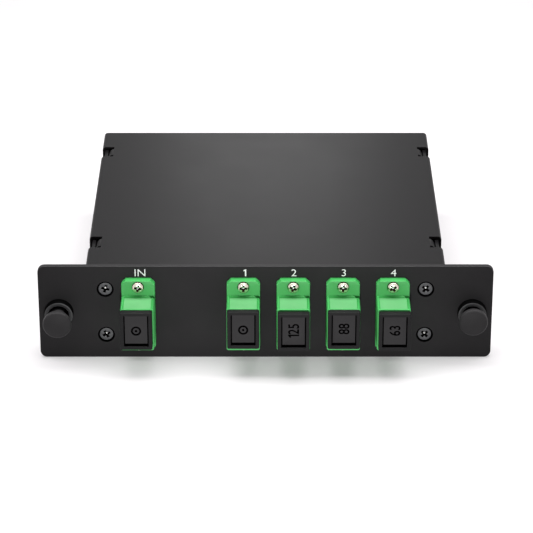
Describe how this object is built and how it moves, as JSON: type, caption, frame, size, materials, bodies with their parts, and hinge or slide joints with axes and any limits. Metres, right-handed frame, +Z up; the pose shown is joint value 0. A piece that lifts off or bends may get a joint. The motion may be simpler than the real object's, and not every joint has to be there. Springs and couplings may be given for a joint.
{
  "type": "fibre splitter cassette",
  "caption": "Flat black steel fibre splitter box behind a front panel with green capped ports and push-pull fasteners.",
  "frame": {"origin": "centre of the underside of the box", "axes": "+X along the panel's width, ports face -Y, +Z up"},
  "size_m": [0.13, 0.1147, 0.029],
  "materials": {
    "panel_paint": "fine-texture black powder coat on punched steel",
    "housing_paint": "fine-texture black powder coat on folded steel",
    "black_screw": "black oxide",
    "green_plastic": "moulded, satin",
    "insert_plastic": "moulded",
    "sleeve_ceramic": "ground zirconia",
    "cap_plastic": "moulded, satin",
    "screw_steel": "nickel plated",
    "fastener_plastic": "moulded",
    "splitter_steel": "drawn tube",
    "boot_rubber": "moulded",
    "foam_tape": "foam tape",
    "guide_plastic": "moulded"
  },
  "bodies": {
    "cassette": {"front_panel": "panel_paint", "base_tray": "housing_paint", "top_cover": "housing_paint", "panel_screws": "black_screw", "adapter_screws": "screw_steel", "adapter_nuts": "screw_steel", "left_grommet": "fastener_plastic", "right_grommet": "fastener_plastic", "splitter_module": "splitter_steel", "splitter_input_boot": "boot_rubber", "splitter_output_boot": "boot_rubber", "adhesive_pad": "foam_tape", "fibre_guides": "guide_plastic", "adapter_in": "green_plastic", "latch_insert_in_front": "insert_plastic", "latch_insert_in_rear": "insert_plastic", "split_sleeve_in": "sleeve_ceramic", "adapter_1": "green_plastic", "latch_insert_1_front": "insert_plastic", "latch_insert_1_rear": "insert_plastic", "split_sleeve_1": "sleeve_ceramic", "adapter_2": "green_plastic", "latch_insert_2_front": "insert_plastic", "latch_insert_2_rear": "insert_plastic", "split_sleeve_2": "sleeve_ceramic", "adapter_3": "green_plastic", "latch_insert_3_front": "insert_plastic", "latch_insert_3_rear": "insert_plastic", "split_sleeve_3": "sleeve_ceramic", "adapter_4": "green_plastic", "latch_insert_4_front": "insert_plastic", "latch_insert_4_rear": "insert_plastic", "split_sleeve_4": "sleeve_ceramic"},
    "dust_cap_in_body": {"dust_cap_in": "cap_plastic"},
    "dust_cap_1_body": {"dust_cap_1": "cap_plastic"},
    "dust_cap_2_body": {"dust_cap_2": "cap_plastic"},
    "dust_cap_3_body": {"dust_cap_3": "cap_plastic"},
    "dust_cap_4_body": {"dust_cap_4": "cap_plastic"},
    "left_plunger_body": {"left_plunger": "fastener_plastic"},
    "right_plunger_body": {"right_plunger": "fastener_plastic"}
  },
  "joints": [
    {"name": "left_plunger_slide", "type": "slide", "parent": "cassette", "child": "left_plunger_body", "axis": [0, 1, 0], "range_m": [0, 0.0044]},
    {"name": "right_plunger_slide", "type": "slide", "parent": "cassette", "child": "right_plunger_body", "axis": [0, 1, 0], "range_m": [-0.0015, 0.0029]},
    {"name": "dust_cap_in_slide", "type": "slide", "parent": "cassette", "child": "dust_cap_in_body", "axis": [0, -1, 0], "range_m": [0, 0.016]},
    {"name": "dust_cap_1_slide", "type": "slide", "parent": "cassette", "child": "dust_cap_1_body", "axis": [0, -1, 0], "range_m": [0, 0.016]},
    {"name": "dust_cap_2_slide", "type": "slide", "parent": "cassette", "child": "dust_cap_2_body", "axis": [0, -1, 0], "range_m": [0, 0.016]},
    {"name": "dust_cap_3_slide", "type": "slide", "parent": "cassette", "child": "dust_cap_3_body", "axis": [0, -1, 0], "range_m": [0, 0.016]},
    {"name": "dust_cap_4_slide", "type": "slide", "parent": "cassette", "child": "dust_cap_4_body", "axis": [0, -1, 0], "range_m": [0, 0.016]}
  ]
}
